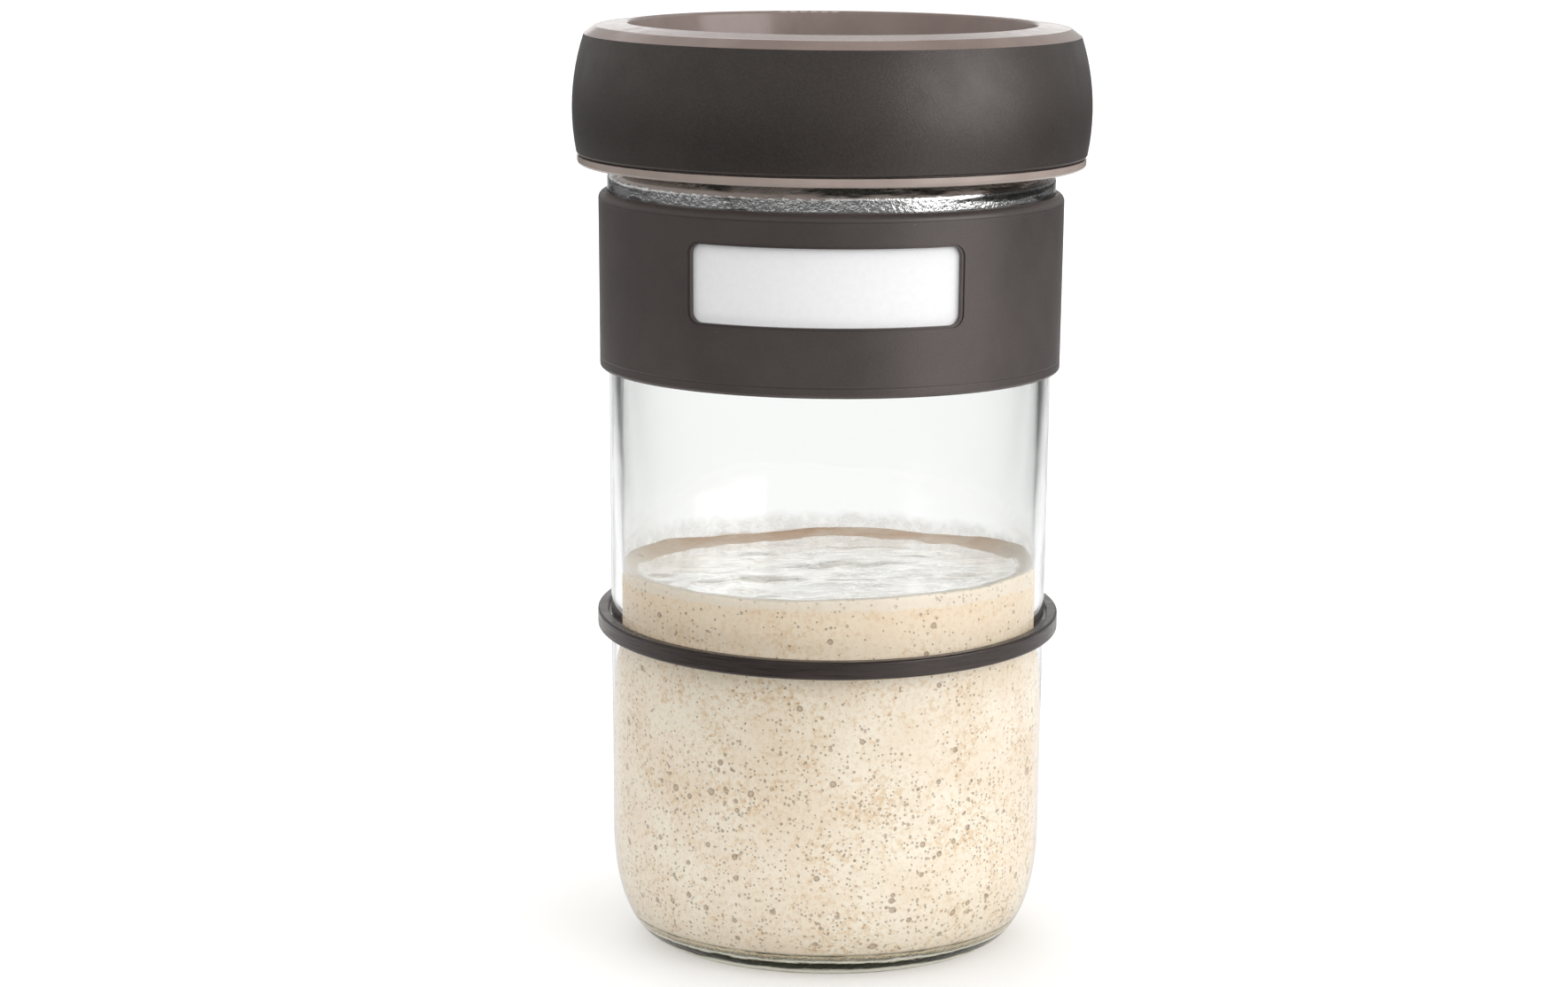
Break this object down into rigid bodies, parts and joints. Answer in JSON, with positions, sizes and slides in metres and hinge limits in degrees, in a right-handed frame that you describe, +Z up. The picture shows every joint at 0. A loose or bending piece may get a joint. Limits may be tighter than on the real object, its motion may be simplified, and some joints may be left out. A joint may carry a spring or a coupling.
{
  "type": "sourdough starter jar",
  "caption": "Clear glass starter jar with a screw lid, a silicone label collar with a writing window, a sliding level ring and its starter.",
  "frame": {"origin": "middle of the foot, on the surface that the jar stands on", "axes": "+Z up along the jar's axis, -Y towards the label window, +X to the right of someone who faces the window"},
  "size_m": [0.1118, 0.1118, 0.2005],
  "materials": {
    "clear_glass": "clear, polished, faintly green where it is thick",
    "starter": null,
    "dark_silicone": "dark grey-brown silicone, matt with a soft sheen",
    "white_card": "smooth white card",
    "ring_rubber": "dark brown rubber with fine lines round it",
    "clear_silicone": "milky translucent silicone",
    "taupe_plastic": "taupe moulded plastic, satin"
  },
  "bodies": {
    "jar": {"glass_jar": "clear_glass", "starter": "starter", "label_collar": "dark_silicone", "label_card": "white_card"},
    "ring": {"level_ring": "ring_rubber"},
    "seal": {"lid_gasket": "clear_silicone"},
    "lid": {"lid_inner_cap": "taupe_plastic", "lid_shell": "taupe_plastic", "lid_grip_sleeve": "dark_silicone"}
  },
  "joints": [
    {"name": "ring_slide", "type": "slide", "parent": "jar", "child": "ring", "axis": [0, 0, 1], "range_m": [-0.038, 0.03]},
    {"name": "lid_rise", "type": "slide", "parent": "jar", "child": "seal", "axis": [0, 0, 1], "range_m": [0, 0.024]},
    {"name": "lid_turn", "type": "hinge", "parent": "seal", "child": "lid", "pos_m": [0, 0, 0.186], "axis": [0, 0, 1], "range_deg": [0, 360]}
  ],
  "couplings": [
    {"joint": "lid_rise", "follows": "lid_turn", "m_per_rad": 0.0038197}
  ]
}
